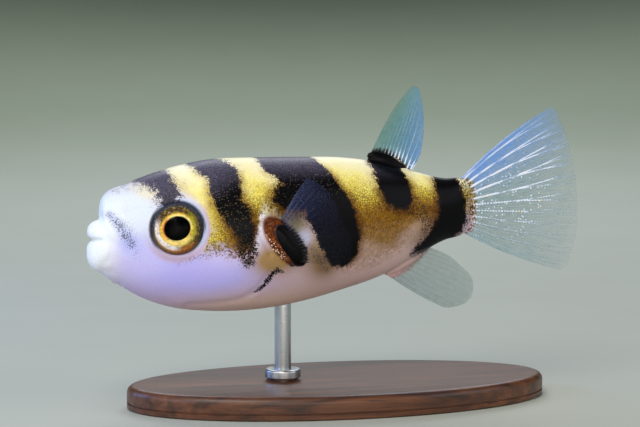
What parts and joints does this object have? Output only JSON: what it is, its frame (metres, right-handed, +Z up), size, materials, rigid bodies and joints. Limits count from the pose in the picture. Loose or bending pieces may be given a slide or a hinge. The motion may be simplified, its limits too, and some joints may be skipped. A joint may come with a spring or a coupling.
{
  "type": "freshwater pufferfish model",
  "caption": "Life-size Amazon puffer with round body, large eyes, beaked mouth and spread fins, held by a rod on an oval base.",
  "frame": {"origin": "middle of the flat underside of the stand's base", "axes": "+Z up; the fish lies along X and faces -X; its left side faces -Y"},
  "size_m": [0.0689, 0.03, 0.0422],
  "materials": {
    "skin": "moist smooth skin, gold back with black bars, pale lilac belly",
    "fin": "clear membrane over pale blue-white rays",
    "eye": "wet glossy eye, gold iris round a black pupil",
    "beak": "polished enamel",
    "base_wood": "oiled walnut, satin",
    "stand_steel": "satin stainless steel"
  },
  "bodies": {
    "root": {"head": "skin", "upper_lip": "skin", "lower_lip": "skin", "nostril_left": "skin", "nostril_right": "skin", "beak_upper": "beak", "beak_lower": "beak", "eye_left": "eye", "eye_right": "eye", "trunk": "skin", "tail_stalk": "skin", "pectoral_root_left": "skin", "pectoral_root_right": "skin", "dorsal_root": "skin", "anal_root": "skin", "pectoral_fin_left": "fin", "pectoral_fin_right": "fin", "dorsal_fin": "fin", "anal_fin": "fin", "caudal_fin": "fin", "stand_base": "base_wood", "stand_rod": "stand_steel", "stand_collar": "stand_steel"}
  },
  "joints": []
}
